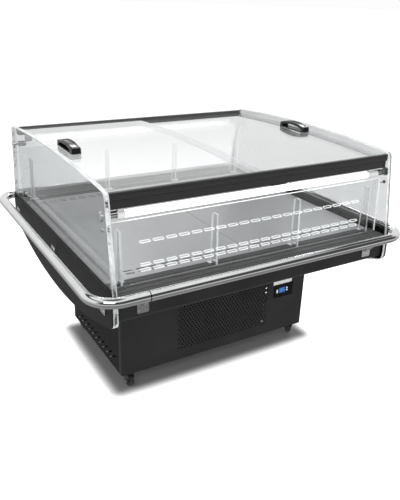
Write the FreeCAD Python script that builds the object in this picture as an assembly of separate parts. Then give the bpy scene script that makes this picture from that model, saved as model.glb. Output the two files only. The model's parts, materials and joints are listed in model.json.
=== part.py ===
import FreeCAD, Part
import os
import math

V = FreeCAD.Vector
os.makedirs("parts", exist_ok=True)

# ------------------------------------------------------------------ dimensions (mm)
# Origin: floor, under the middle of the cabinet. +X to the right, +Y to the back, +Z up.

# clear end panels
PANEL_IN_X = 605.0          # inner face of each end panel
PANEL_T = 20.0              # thickness
PANEL_OUT_X = PANEL_IN_X + PANEL_T
TOP_HALF = 541.0            # half depth at the top edge
TOP_Z = 948.0               # height at the front and back top corners
CROWN_Z = 970.0             # height in the middle of the arched top edge
RIM_HALF = 590.0            # half depth at the rim
RIM_Z = 600.0
FOOT_HALF = 592.0           # half depth at the lower corner
FOOT_Z = 496.0
BELLY_Z = 393.0             # lowest point of the end outline
PANEL_TOP_R = 20.0
PANEL_LOW_R = 34.0

# end plates on the outside of the clear panels
PLATE_T = 4.0
PLATE_TOP_Z = 628.0
PLATE_INSET = 1.0

# tub
TUB_X = 605.0
TUB_HALF = 580.0
TUB_TOP_Z = 604.0
TUB_CORNER_Z = 510.0
TUB_BOTTOM_Z = 402.0
TUB_CORNER_R = 20.0
SHELL_T = 1.5
FOAM_T = 40.0
LINER_T = 1.2
FLANGE_T = 2.0

# ledges along the front and back of the deck
LEDGE_TOP_Z = 612.0
LEDGE_IN_Y = 480.0
LEDGE_OUT_Y = 588.0

# deck trays
TRAY_T = 2.0
TRAY_LIP = 18.0
TRAY_HALF_Y = 477.0
TRAY_END_X = 603.0
TRAY_GAP = 1.0
DECK_Z = TUB_TOP_Z + FLANGE_T + TRAY_T

# rails at the top of the front and the back
RAIL_X = 604.5
RAIL_TOP_Z = 944.0
FRONT_RAIL_LOW_Z = 888.0
BACK_RAIL_LOW_Z = 914.0
RAIL_OUT_Y = 540.0
RAIL_IN_Y = 497.0
LOWER_LEDGE_Z = 924.2
UPPER_LEDGE_Z = 932.0
LEDGE_STEP_Y = 512.0
LIP_IN_Y = 526.0

# sliding lids
LID_T = 5.0
LID_RISE = 18.0             # how far the middle stands above the ends
UPPER_LID_Z = 950.2         # underside in the middle
LOWER_LID_Z = 942.4
UPPER_LID_HALF = 522.0
LOWER_LID_HALF = 508.0
UPPER_LID_EDGE_X = -10.0    # right edge of the left (upper) lid
LOWER_LID_EDGE_X = -42.0    # left edge of the right (lower) lid, tucked under it
LID_END_X = 603.0
HANDLE_LEFT_X = -542.0
HANDLE_RIGHT_X = 560.0
HANDLE_LEN = 174.0
HANDLE_W = 38.0
HANDLE_H = 33.0             # top of the bow above the lid
HANDLE_END_H = 21.0         # height of its ends
HANDLE_GAP_H = 21.0         # top of the finger gap in the middle
HANDLE_BASE_T = 4.0         # foot strip that lies on the lid under the bow
HANDLE_Y = 3.0

# risers (clear front and back panes) and their clear fins
PANE_T = 8.0
PANE_X = 604.5
FRONT_PANE_FOOT_Y = -531.0
FRONT_PANE_HEAD_Y = -520.0
FRONT_PANE_TOP_Z = 838.0
BACK_PANE_FOOT_Y = 531.0
BACK_PANE_HEAD_Y = 518.0
BACK_PANE_TOP_Z = 852.0
SLOT_L = 40.0
SLOT_H = 8.0
SLOT_PITCH = 50.0
SLOT_ROWS_Z = (655.0, 675.0, 756.0)
FIN_X = (-562.0, -188.0, 188.0, 562.0)
FIN_T = 8.0
FIN_IN_Y = 481.0            # upright inner edge of each fin, clear of the lift-out trays
FIN_TOP_Z = 803.0

# lamps
LAMP_R = 13.0
FRONT_LAMP_Y, FRONT_LAMP_Z = -518.0, 864.0
BACK_LAMP_Y, BACK_LAMP_Z = 506.0, 896.0
LAMP_X0, LAMP_X1 = -548.0, 520.0

# panel fixings
STAND_R = 17.0
STAND_T = 6.0
BOSS_R = 12.5
BOSS_L = 30.0

# bumper
BUMP_R = 19.0
BUMP_WALL = 2.0
BUMP_Z = 608.0
BUMP_X = 692.0
BUMP_Y = 622.0
BUMP_CORNER = 95.0

# pedestal
PED_X = 470.0
PED_Y = 284.0
PED_LOW_Z = 67.0
PED_TOP_Z = 424.0
SHEET = 2.0
FLOOR_Z = 70.0              # top of the floor pan
FRAME_T = 3.0               # folded sheet of the base frame
GRILLE_X0, GRILLE_X1 = -214.0, 268.0
GRILLE_Z0, GRILLE_Z1 = 108.0, 352.0
HOLE_R = 3.9
HOLE_PX, HOLE_PZ = 15.5, 11.6

# castors
WHEEL_R = 25.0
WHEEL_W = 20.0
AXLE_R = 4.0
CASTOR_X = 431.0
CASTOR_Y = 248.0
TRAIL = 16.0
BRAKE_DOWN = 10.0           # the brake levers are pressed down

BUILT = []


# ------------------------------------------------------------------ helpers
def save(name, shape):
    if shape.ShapeType == "Compound" and len(shape.Solids) == 1:
        shape = shape.Solids[0]
    for s in shape.Solids:
        assert s.isValid(), name
    shape.exportStep("parts/%s.step" % name)
    BUILT.append((name, len(shape.Solids), shape.Volume / 1000.0))


def box(x0, x1, y0, y1, z0, z1):
    return Part.makeBox(x1 - x0, y1 - y0, z1 - z0, V(x0, y0, z0))


def cyl(p, axis, r, h):
    return Part.makeCylinder(r, h, V(*p), V(*axis))


def ring(p, axis, r1, r0, h):
    return cyl(p, axis, r1, h).cut(cyl(p, axis, r0, h))


def fuse(shapes):
    s = shapes[0]
    if len(shapes) > 1:
        s = s.multiFuse(shapes[1:])
    return s.removeSplitter()


def mirror_x(s):
    return s.mirror(V(0, 0, 0), V(1, 0, 0))


def mirror_y(s):
    return s.mirror(V(0, 0, 0), V(0, 1, 0))


def moved(s, x, y, z):
    s = s.copy()
    s.translate(V(x, y, z))
    return s


def turned(s, centre, axis, deg):
    s = s.copy()
    s.rotate(V(*centre), V(*axis), deg)
    return s


def poly_yz(pts, x0, x1):
    """Closed polygon of (y, z) points, drawn out along X."""
    w = Part.makePolygon([V(x0, y, z) for y, z in pts] + [V(x0, pts[0][0], pts[0][1])])
    return Part.Face(w).extrude(V(x1 - x0, 0, 0))


def poly_xy(pts, z0, z1):
    w = Part.makePolygon([V(x, y, z0) for x, y in pts] + [V(pts[0][0], pts[0][1], z0)])
    return Part.Face(w).extrude(V(0, 0, z1 - z0))


def arc_yz(x, p, q, r):
    return Part.Arc(V(x, p[0], p[1]), V(x, q[0], q[1]), V(x, r[0], r[1])).toShape()


def line_yz(x, p, q):
    return Part.LineSegment(V(x, p[0], p[1]), V(x, q[0], q[1])).toShape()


def fillet_x_edges(solid, spots, r):
    """Round the edges that run along X through the given (y, z) spots."""
    edges = []
    for e in solid.Edges:
        if len(e.Vertexes) != 2:
            continue
        a, b = e.Vertexes[0].Point, e.Vertexes[1].Point
        if abs(a.y - b.y) > 1e-4 or abs(a.z - b.z) > 1e-4:
            continue
        for (y, z) in spots:
            if abs(a.y - y) < 0.05 and abs(a.z - z) < 0.05:
                edges.append(e)
                break
    return solid.makeFillet(r, edges)


def slot_cutter_x(xc, zc, length, height, y0, y1):
    """Round-ended slot along X that passes through in Y."""
    r = height / 2.0
    half = length / 2.0 - r
    b = box(xc - half, xc + half, y0, y1, zc - r, zc + r)
    c1 = cyl((xc - half, y0, zc), (0, 1, 0), r, y1 - y0)
    c2 = cyl((xc + half, y0, zc), (0, 1, 0), r, y1 - y0)
    return b.fuse([c1, c2])


def slot_wire(centre, u, v, length, height):
    """Round-ended slot outline in the plane of u (along) and v (across)."""
    r = height / 2.0
    h = length / 2.0 - r
    c = V(*centre)
    u = V(*u)
    v = V(*v)
    a = c - u * h + v * r
    b = c + u * h + v * r
    m1 = c + u * (h + r)
    d = c + u * h - v * r
    e = c - u * h - v * r
    m2 = c - u * (h + r)
    return Part.Wire([
        Part.LineSegment(a, b).toShape(),
        Part.Arc(b, m1, d).toShape(),
        Part.LineSegment(d, e).toShape(),
        Part.Arc(e, m2, a).toShape(),
    ])


def plate_with_wires(outer, holes, direction):
    """Flat plate with many openings, built as one face and drawn out."""
    face = Part.Face([outer] + holes)
    face.validate()
    return face.extrude(V(*direction))


def rect_wire(c, u, v, lu, lv):
    c = V(*c)
    u = V(*u) * (lu / 2.0)
    v = V(*v) * (lv / 2.0)
    return Part.makePolygon([c - u - v, c + u - v, c + u + v, c - u + v, c - u - v])


def pipe(points, r, bend):
    """Tube of straight runs joined by tangent arcs."""
    pts = [V(*p) for p in points]
    edges = []
    cur = pts[0]
    for i in range(1, len(pts) - 1):
        a, b, c = pts[i - 1], pts[i], pts[i + 1]
        d1 = (b - a).normalize()
        d2 = (c - b).normalize()
        ang = d1.getAngle(d2)
        t = bend * math.tan(ang / 2.0)
        p1 = b - d1 * t
        p2 = b + d2 * t
        bis = (d2 - d1).normalize()
        centre = b + bis * (bend / math.cos(ang / 2.0))
        mid = centre - bis * bend
        edges.append(Part.LineSegment(cur, p1).toShape())
        edges.append(Part.Arc(p1, mid, p2).toShape())
        cur = p2
    edges.append(Part.LineSegment(cur, pts[-1]).toShape())
    path = Part.Wire(edges)
    d0 = (pts[1] - pts[0]).normalize()
    prof = Part.Wire([Part.makeCircle(r, pts[0], d0)])
    return path.makePipeShell([prof], True, True)


# ------------------------------------------------------------------ outlines
def end_outline(x0, x1, inset=0.0, top=None):
    """Outline of the cabinet's end: arched top, raking front and back, boat-shaped belly."""
    th, rh, fh = TOP_HALF - inset, RIM_HALF - inset, FOOT_HALF - inset
    tz, cz, fz, bz = TOP_Z - inset, CROWN_Z - inset, FOOT_Z + inset, BELLY_Z + inset
    e = [
        arc_yz(x0, (-th, tz), (0, cz), (th, tz)),
        line_yz(x0, (th, tz), (rh, RIM_Z)),
        line_yz(x0, (rh, RIM_Z), (fh, fz)),
        arc_yz(x0, (fh, fz), (0, bz), (-fh, fz)),
        line_yz(x0, (-fh, fz), (-rh, RIM_Z)),
        line_yz(x0, (-rh, RIM_Z), (-th, tz)),
    ]
    s = Part.Face(Part.Wire(e)).extrude(V(x1 - x0, 0, 0))
    s = fillet_x_edges(s, [(-th, tz), (th, tz)], PANEL_TOP_R)
    s = fillet_x_edges(s, [(-fh, fz), (fh, fz)], PANEL_LOW_R)
    s = fillet_x_edges(s, [(-rh, RIM_Z), (rh, RIM_Z)], 60.0)
    if top is not None:
        s = s.common(box(x0 - 1, x1 + 1, -700, 700, 300, top))
    return s


def tub_block(x_half, off, top=TUB_TOP_Z):
    """Boat-shaped block: upright front and back, arched underside."""
    h = TUB_HALF - off
    zc = TUB_CORNER_Z + off
    zb = TUB_BOTTOM_Z + off
    e = [
        line_yz(-x_half, (-h, top), (-h, zc)),
        arc_yz(-x_half, (-h, zc), (0, zb), (h, zc)),
        line_yz(-x_half, (h, zc), (h, top)),
        line_yz(-x_half, (h, top), (-h, top)),
    ]
    s = Part.Face(Part.Wire(e)).extrude(V(2 * x_half, 0, 0))
    return fillet_x_edges(s, [(-h, zc), (h, zc)], TUB_CORNER_R)


# ------------------------------------------------------------------ clear end panels and end plates
panel = end_outline(PANEL_IN_X, PANEL_OUT_X)

# fixings pass through the end panels: (y, z, kind)
STANDOFFS = [(-519.0, 866.0), (514.0, 872.0)]
SMALL_FIX = [(-523.0, 822.0), (519.0, 834.0)]
for (y, z) in STANDOFFS:
    panel = panel.cut(cyl((PANEL_IN_X - 1, y, z), (1, 0, 0), 5.0, PANEL_T + 2))
for (y, z) in SMALL_FIX:
    panel = panel.cut(cyl((PANEL_IN_X - 1, y, z), (1, 0, 0), 2.5, PANEL_T + 2))
# polished bevel round the visible rim of the panel
try:
    rim = []
    for e in panel.Edges:
        bb = e.BoundBox
        if bb.XLength < 1e-4 and e.Length > 30.0:
            rim.append(e)
    bevelled = panel.makeChamfer(1.2, rim)
    if bevelled.isValid():
        panel = bevelled
except Exception:
    pass
save("end_panel_right", panel)
save("end_panel_left", mirror_x(panel))

plate = end_outline(PANEL_OUT_X, PANEL_OUT_X + PLATE_T, PLATE_INSET, PLATE_TOP_Z)
save("end_plate_right", plate)
save("end_plate_left", mirror_x(plate))

# ------------------------------------------------------------------ tub: shell, foam, liner
tub_solid = tub_block(TUB_X, 0.0)
cav1 = tub_block(TUB_X - SHELL_T, SHELL_T, TUB_TOP_Z + 1)
shell = tub_solid.cut(cav1)
foam_out = tub_block(TUB_X - SHELL_T, SHELL_T)
cav2 = tub_block(TUB_X - SHELL_T - FOAM_T, SHELL_T + FOAM_T, TUB_TOP_Z + 1)
foam = foam_out.cut(cav2)
liner_out = tub_block(TUB_X - SHELL_T - FOAM_T, SHELL_T + FOAM_T)
IN_X = TUB_X - SHELL_T - FOAM_T - LINER_T
IN_Y = TUB_HALF - SHELL_T - FOAM_T - LINER_T
cav3 = tub_block(IN_X, SHELL_T + FOAM_T + LINER_T, TUB_TOP_Z + 1)
liner = liner_out.cut(cav3)
flange = box(-TUB_X, TUB_X, -TUB_HALF, TUB_HALF, TUB_TOP_Z, TUB_TOP_Z + FLANGE_T)
flange = flange.cut(box(-IN_X, IN_X, -IN_Y, IN_Y, TUB_TOP_Z - 1, TUB_TOP_Z + FLANGE_T + 1))
beam = box(-20, 20, -IN_Y, IN_Y, TUB_TOP_Z - 18, TUB_TOP_Z + FLANGE_T)
beam = beam.cut(box(-18, 18, -IN_Y - 1, IN_Y + 1, TUB_TOP_Z - 19, TUB_TOP_Z))
liner = fuse([liner, flange, beam])

PIPE_HOLE = (-330.0, 40.0)
DRAIN_HOLE = (300.0, 0.0)
pipe_hole = cyl((PIPE_HOLE[0], PIPE_HOLE[1], 380), (0, 0, 1), 16.0, 100)
drain_hole = cyl((DRAIN_HOLE[0], DRAIN_HOLE[1], 380), (0, 0, 1), 13.2, 100)
shell = shell.cut(pipe_hole).cut(drain_hole)
foam = foam.cut(pipe_hole).cut(drain_hole)
liner = liner.cut(pipe_hole).cut(drain_hole)
save("tub_shell", shell)
save("tub_insulation", foam)
save("inner_liner", liner)


# ------------------------------------------------------------------ ledges
def ledge():
    z1 = LEDGE_TOP_Z
    z0 = TUB_TOP_Z + FLANGE_T
    pts = [
        (-TUB_HALF, z0), (-TUB_HALF, z0 - 16), (-LEDGE_OUT_Y, z0 - 16), (-LEDGE_OUT_Y, z1 - 2),
        (-LEDGE_OUT_Y + 2, z1),
        (-572, z1), (-572, z1 - 1.6), (-569, z1 - 1.6), (-569, z1),
        (-545, z1), (-545, z1 - 1.6), (-542, z1 - 1.6), (-542, z1),
        (-518, z1), (-518, z1 - 1.6), (-515, z1 - 1.6), (-515, z1),
        (-501, z1), (-501, z1 - 3.0), (-LEDGE_IN_Y, z1 - 3.0), (-LEDGE_IN_Y, z0),
    ]
    s = poly_yz(pts, -RAIL_X, RAIL_X)
    for x in (-532.0, 532.0):
        s = s.cut(box(x - 0.8, x + 0.8, -600, -470, z1 - 1.6, z1 + 1))
    return s


led = ledge()
save("front_ledge", led)
save("rear_ledge", mirror_y(led))


# ------------------------------------------------------------------ deck trays (lift out)
def tray(x0, x1):
    zt = DECK_Z
    zb = DECK_Z - TRAY_T
    cx = (x0 + x1) / 2.0
    outer = rect_wire((cx, 0, zb), (1, 0, 0), (0, 1, 0), x1 - x0, 2 * TRAY_HALF_Y)
    holes = []
    for y in (-440.0, -418.0, 418.0, 440.0):
        for i in range(-5, 6):
            holes.append(slot_wire((cx + i * 48.0, y, zb), (1, 0, 0), (0, 1, 0), 34.0, 7.0))
    top = plate_with_wires(outer, holes, (0, 0, TRAY_T))
    lip0 = x0 if abs(x0) < 300 else x0 + 46.0
    lip1 = x1 if abs(x1) < 300 else x1 - 46.0
    if abs(x0) < 300:
        lip0 = x0 + 22.0
    if abs(x1) < 300:
        lip1 = x1 - 22.0
    f = box(lip0, lip1, -TRAY_HALF_Y, -TRAY_HALF_Y + TRAY_T, zt - TRAY_LIP, zt)
    b = box(lip0, lip1, TRAY_HALF_Y - TRAY_T, TRAY_HALF_Y, zt - TRAY_LIP, zt)
    return fuse([top, f, b])


save("deck_tray_left", tray(-TRAY_END_X, -TRAY_GAP))
save("deck_tray_right", tray(TRAY_GAP, TRAY_END_X))


# ------------------------------------------------------------------ rails
def rail(low_z):
    t = 3.0
    o = RAIL_OUT_Y
    pts = [
        (-o, RAIL_TOP_Z - 1.5), (-o + 1.5, RAIL_TOP_Z), (-LIP_IN_Y, RAIL_TOP_Z),
        (-LIP_IN_Y, UPPER_LEDGE_Z), (-LEDGE_STEP_Y, UPPER_LEDGE_Z),
        (-LEDGE_STEP_Y, LOWER_LEDGE_Z), (-RAIL_IN_Y, LOWER_LEDGE_Z), (-RAIL_IN_Y, low_z),
        (-o + 6, low_z), (-o + 6, low_z + (RAIL_TOP_Z - low_z) * 0.50),
        (-o, low_z + (RAIL_TOP_Z - low_z) * 0.50 + 3.0),
    ]
    s = poly_yz(pts, -RAIL_X, RAIL_X)
    # hollow chamber and the groove under the top edge
    s = s.cut(box(-RAIL_X - 1, RAIL_X + 1, -o + 6 + t, -RAIL_IN_Y - t, low_z + t, LOWER_LEDGE_Z - t))
    s = s.cut(box(-RAIL_X - 1, RAIL_X + 1, -o - 1, -o + 1.2, RAIL_TOP_Z - 9.0, RAIL_TOP_Z - 6.5))
    return s


save("front_rail", rail(FRONT_RAIL_LOW_Z))
save("back_rail", mirror_y(rail(BACK_RAIL_LOW_Z)))


# ------------------------------------------------------------------ lids
def lid(x0, x1, half, z_under):
    big_r = half * half / (2.0 * LID_RISE) + LID_RISE / 2.0

    def zz(y, extra):
        r = big_r + extra
        return z_under - big_r + math.sqrt(r * r - y * y)
    e = [
        arc_yz(x0, (-half, zz(half, 0)), (0, zz(0, 0)), (half, zz(half, 0))),
        line_yz(x0, (half, zz(half, 0)), (half, zz(half, LID_T))),
        arc_yz(x0, (half, zz(half, LID_T)), (0, zz(0, LID_T)), (-half, zz(half, LID_T))),
        line_yz(x0, (-half, zz(half, LID_T)), (-half, zz(half, 0))),
    ]
    return Part.Face(Part.Wire(e)).extrude(V(x1 - x0, 0, 0))


lid_left = lid(-LID_END_X, UPPER_LID_EDGE_X, UPPER_LID_HALF, UPPER_LID_Z)
lid_right = lid(LOWER_LID_EDGE_X, LID_END_X, LOWER_LID_HALF, LOWER_LID_Z)
save("lid_left", lid_left)
save("lid_right", lid_right)


def handle(x, z_top, lid_solid):
    """Broad bow on a thin foot strip: upright ends, arched back with a shallow dish, finger gap between."""
    h = HANDLE_LEN / 2.0
    x0 = x - HANDLE_W / 2.0
    z = z_top - 3.0
    e = [
        line_yz(x0, (-h, z), (-h + 3, z_top + HANDLE_END_H)),
        arc_yz(x0, (-h + 3, z_top + HANDLE_END_H), (0, z_top + HANDLE_H), (h - 3, z_top + HANDLE_END_H)),
        line_yz(x0, (h - 3, z_top + HANDLE_END_H), (h, z)),
        line_yz(x0, (h, z), (-h, z)),
    ]
    s = Part.Face(Part.Wire(e)).extrude(V(HANDLE_W, 0, 0))
    low = moved(s, 0, 0, -3.0)
    i = h - 17.0
    zb = z_top + HANDLE_BASE_T
    e = [
        line_yz(x0 - 1, (-i, zb), (-i + 4, z_top + HANDLE_GAP_H - 7)),
        arc_yz(x0 - 1, (-i + 4, z_top + HANDLE_GAP_H - 7), (0, z_top + HANDLE_GAP_H), (i - 4, z_top + HANDLE_GAP_H - 7)),
        line_yz(x0 - 1, (i - 4, z_top + HANDLE_GAP_H - 7), (i, zb)),
        line_yz(x0 - 1, (i, zb), (-i, zb)),
    ]
    gap = Part.Face(Part.Wire(e)).extrude(V(HANDLE_W + 2, 0, 0))
    try:
        edges = []
        for ed in s.Edges:
            bb = ed.BoundBox
            if (bb.XLength < 1e-4 and bb.ZMin > z + 2) or (bb.XLength > 10 and bb.ZMin > z + 2) or (bb.XLength < 1e-4 and bb.YLength < 4):
                edges.append(ed)
        r = s.makeFillet(4.5, edges)
        if r.isValid():
            s = r
    except Exception:
        pass
    dish = box(x - 12.0, x + 12.0, -h + 14.0, h - 14.0, z + 6, z_top + HANDLE_H + 10).cut(low)
    dish = dish.makeFillet(9.0, [ed for ed in dish.Edges if ed.BoundBox.ZLength > 3 and
                                 ed.BoundBox.XLength < 0.01 and ed.BoundBox.YLength < 0.01])
    s = s.cut(gap).cut(dish)
    s.translate(V(0, HANDLE_Y, 0))
    return s.cut(lid_solid)


save("lid_handle_left", handle(HANDLE_LEFT_X, UPPER_LID_Z + LID_T, lid_left))
save("lid_handle_right", handle(HANDLE_RIGHT_X, LOWER_LID_Z + LID_T, lid_right))


# ------------------------------------------------------------------ clear risers and fins
def pane(foot_y, head_y, top_z, slots, bead):
    z0 = LEDGE_TOP_Z
    s = math.copysign(1.0, foot_y)
    y0, y1 = foot_y, head_y
    # outer face runs from foot_y to head_y; the pane is PANE_T thick towards the inside
    pts = [(y0, z0), (y1, top_z), (y1 - s * PANE_T, top_z), (y0 - s * PANE_T, z0)]
    p = poly_yz(pts, -PANE_X, PANE_X)
    if bead:
        p = p.fuse(poly_yz([(y1 + s * 0.5, top_z - 12), (y1 + s * 0.5, top_z),
                            (y1 - s * (PANE_T + 3), top_z), (y1 - s * (PANE_T + 3), top_z - 12)],
                           -PANE_X, PANE_X)).removeSplitter()
    if slots:
        cutters = []
        for z in SLOT_ROWS_Z:
            n = 10
            for i in range(n * 2):
                x = (-n + 0.5 + i) * SLOT_PITCH
                cutters.append(slot_cutter_x(x, z, SLOT_L, SLOT_H, y0 - 20, y1 + 20))
        comp = Part.makeCompound(cutters)
        p = p.cut(comp)
    return p


save("front_pane", pane(FRONT_PANE_FOOT_Y, FRONT_PANE_HEAD_Y, FRONT_PANE_TOP_Z, True, False))
save("rear_pane", pane(BACK_PANE_FOOT_Y, BACK_PANE_HEAD_Y, BACK_PANE_TOP_Z, False, True))


def fins(sign, foot_y, head_y, top_z):
    """Clear fins that stand on the ledge and hold the pane upright."""
    out = []
    k = (head_y - foot_y) / (top_z - LEDGE_TOP_Z)
    for x in FIN_X:
        f0 = foot_y - sign * PANE_T
        z0, z1 = LEDGE_TOP_Z - 3.0, FIN_TOP_Z
        zf = LEDGE_TOP_Z
        a = f0 + k * (zf - LEDGE_TOP_Z)
        b = f0 + k * (z1 - LEDGE_TOP_Z)
        back = sign * FIN_IN_Y
        pts = [(a, zf), (b, z1), (back + sign * 8.0, z1),
               (back, z1 - 8.0), (back, zf + 3.0), (back, z0),
               (sign * 501.0, z0), (sign * 501.0, zf)]
        body = poly_yz(pts, x - FIN_T / 2.0, x + FIN_T / 2.0)
        foot = box(x - 20.0, x + 20.0, min(back, sign * 501.0), max(back, sign * 501.0), z0, z0 + 4.0)
        out.append(fuse([body, foot]))
    return out


all_fins = fins(-1, FRONT_PANE_FOOT_Y, FRONT_PANE_HEAD_Y, FRONT_PANE_TOP_Z)
all_fins += fins(1, BACK_PANE_FOOT_Y, BACK_PANE_HEAD_Y, BACK_PANE_TOP_Z)
save("pane_fins", Part.makeCompound(all_fins))


# ------------------------------------------------------------------ lamps
def lamp(y, z):
    return cyl((LAMP_X0, y, z), (1, 0, 0), LAMP_R, LAMP_X1 - LAMP_X0)


save("lamp_tubes", Part.makeCompound([lamp(FRONT_LAMP_Y, FRONT_LAMP_Z), lamp(BACK_LAMP_Y, BACK_LAMP_Z)]))


def holders(y, z, rail_low, rail_side):
    out = []
    inner = PANEL_IN_X - BOSS_L
    # short holder on the left, longer one with the wiring box on the right
    for (x0, x1) in ((-inner + 1.0, LAMP_X0), (LAMP_X1, inner - 1.0)):
        c = cyl((x0, y, z), (1, 0, 0), LAMP_R + 1.5, x1 - x0)
        up = box(max(x0, x0 + 4), min(x1 - 4, x0 + 34) if x1 > 0 else x1 - 2,
                 y - 6, y + 6, z, rail_low)
        out.append(fuse([c, up]))
    return out


save("lamp_holders", Part.makeCompound(
    holders(FRONT_LAMP_Y, FRONT_LAMP_Z, FRONT_RAIL_LOW_Z, -1) +
    holders(BACK_LAMP_Y, BACK_LAMP_Z, BACK_RAIL_LOW_Z, 1)))

# ------------------------------------------------------------------ panel fixings (all four corners)
fix = []
for (y, z) in STANDOFFS:
    disc = cyl((PANEL_OUT_X, y, z), (1, 0, 0), STAND_R, STAND_T)
    disc = disc.makeFillet(2.0, [e for e in disc.Edges if abs(e.BoundBox.XMin - (PANEL_OUT_X + STAND_T)) < 0.01])
    stud = cyl((PANEL_IN_X, y, z), (1, 0, 0), 4.9, PANEL_T)
    boss = cyl((PANEL_IN_X - BOSS_L, y, z), (1, 0, 0), BOSS_R, BOSS_L)
    hexcut = Part.Face(Part.makePolygon(
        [V(PANEL_OUT_X + STAND_T - 2.5, y + 5 * math.cos(math.radians(60 * k)), z + 5 * math.sin(math.radians(60 * k)))
         for k in range(7)])).extrude(V(3, 0, 0))
    fix.append(fuse([disc, stud, boss]).cut(hexcut))
for (y, z) in SMALL_FIX:
    disc = cyl((PANEL_OUT_X, y, z), (1, 0, 0), 7.0, 3.0)
    stud = cyl((PANEL_IN_X, y, z), (1, 0, 0), 2.4, PANEL_T)
    fix.append(fuse([disc, stud]))
save("panel_fixings", Part.makeCompound(fix + [mirror_x(f) for f in fix]))


# ------------------------------------------------------------------ bumper ring
def ring_solid(r):
    X, Y, C, Z = BUMP_X, BUMP_Y, BUMP_CORNER, BUMP_Z
    parts = [
        cyl((-X + C, -Y, Z), (1, 0, 0), r, 2 * (X - C)),
        cyl((-X + C, Y, Z), (1, 0, 0), r, 2 * (X - C)),
        cyl((-X, -Y + C, Z), (0, 1, 0), r, 2 * (Y - C)),
        cyl((X, -Y + C, Z), (0, 1, 0), r, 2 * (Y - C)),
    ]
    for (sx, sy, a0) in ((1, 1, 0), (-1, 1, 90), (-1, -1, 180), (1, -1, 270)):
        t = Part.makeTorus(C, r, V(0, 0, 0), V(0, 0, 1), -180, 180, 90)
        t.rotate(V(0, 0, 0), V(0, 0, 1), a0)
        t.translate(V(sx * (X - C), sy * (Y - C), Z))
        parts.append(t)
    return fuse(parts)


bump = ring_solid(BUMP_R).cut(ring_solid(BUMP_R - BUMP_WALL))
save("bumper_tube", bump)


def bracket_front(x):
    """Foot plate on the tub's front face, with two struts up to the bumper tube."""
    y = -TUB_HALF
    foot = box(x - 22, x + 22, y - 4, y, 528, 582)
    foot = foot.makeFillet(5.0, [e for e in foot.Edges if e.BoundBox.YLength > 3.9 and
                                 e.BoundBox.XLength < 0.01 and e.BoundBox.ZLength < 0.01])
    bars = []
    for dx in (-30.0, 0.0):
        a = V(x + dx * 0.3, y - 4, 556)
        b = V(x + dx, -BUMP_Y, BUMP_Z - BUMP_R + 3.5)
        d = b - a
        bars.append(Part.makeCylinder(5.0, d.Length, a - d.normalize() * 3, d))
    heads = [cyl((x + s * 12, y - 6.5, z), (0, 1, 0), 4.5, 3.0) for s in (-1, 1) for z in (536.5,)]
    s = fuse([foot] + bars + heads)
    return s.cut(ring_solid(BUMP_R)).cut(tub_solid)


def bracket_side(y):
    """Foot plate on the end plate, with a strut out to the bumper tube."""
    x = PANEL_OUT_X + PLATE_T
    foot = box(x, x + 4, y - 20, y + 20, 524, 572)
    foot = foot.makeFillet(5.0, [e for e in foot.Edges if e.BoundBox.XLength > 3.9 and
                                 e.BoundBox.YLength < 0.01 and e.BoundBox.ZLength < 0.01])
    a = V(x + 3, y, 552)
    b = V(BUMP_X, y, BUMP_Z - BUMP_R + 3.5)
    d = b - a
    bar = Part.makeCylinder(6.5, d.Length + 2, a, d)
    heads = [cyl((x + 3.5, y + s * 11, 533.5), (1, 0, 0), 4.5, 3.0) for s in (-1, 1)]
    s = fuse([foot, bar] + heads)
    return s.cut(ring_solid(BUMP_R)).cut(plate)


br = []
for x in (-514.0, 514.0):
    f = bracket_front(x)
    br.append(f)
    br.append(mirror_y(f))
for y in (-520.0, 0.0, 520.0):
    f = bracket_side(y)
    br.append(f)
    br.append(mirror_x(f))
save("bumper_brackets", Part.makeCompound(br))

# ------------------------------------------------------------------ pedestal frame
tub_cut = tub_solid
frame = []
fx, fy = PED_X - 5.0, PED_Y - 5.0
ft = FRAME_T
pan_z = FLOOR_Z - ft
# floor pan with upturned edges
frame.append(box(-fx, fx, -fy, fy, pan_z, FLOOR_Z))
for s_ in (-1, 1):
    xa, xb = sorted((s_ * fx, s_ * (fx - ft)))
    ya, yb = sorted((s_ * fy, s_ * (fy - ft)))
    frame.append(box(xa, xb, -fy, fy, pan_z, FLOOR_Z + 27))
    frame.append(box(-fx, fx, ya, yb, pan_z, FLOOR_Z + 27))
    # top bars under the tub
    frame.append(box(xa, xb, -fy, fy, 392, 430))
    frame.append(box(-fx, fx, ya, yb, 392, 430))
    xc, xd = sorted((s_ * fx, s_ * (fx - 28)))
    yc, yd = sorted((s_ * fy, s_ * (fy - 28)))
    frame.append(box(xc, xd, -fy, fy, 392, 392 + ft))
    frame.append(box(-fx, fx, yc, yd, 392, 392 + ft))
# angle posts in the corners
for sx in (-1, 1):
    for sy in (-1, 1):
        xa, xb = sorted((sx * fx, sx * (fx - ft)))
        xc, xd = sorted((sx * fx, sx * (fx - 30)))
        ya, yb = sorted((sy * fy, sy * (fy - 30)))
        yc, yd = sorted((sy * fy, sy * (fy - ft)))
        frame.append(box(xa, xb, ya, yb, pan_z, 410))
        frame.append(box(xc, xd, yc, yd, pan_z, 410))
        cx, cy = sx * CASTOR_X, sy * CASTOR_Y
        frame.append(box(cx - 29, cx + 29, cy - 29, cy + 29, PED_LOW_Z - 5, PED_LOW_Z + 1))
fr = fuse(frame)
fr = fr.cut(tub_cut)
for sx in (-1, 1):
    for sy in (-1, 1):
        cx, cy = sx * CASTOR_X, sy * CASTOR_Y
        fr = fr.cut(cyl((cx, cy, PED_LOW_Z - 6), (0, 0, 1), 5.05, 12))
save("base_frame", fr)


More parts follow.
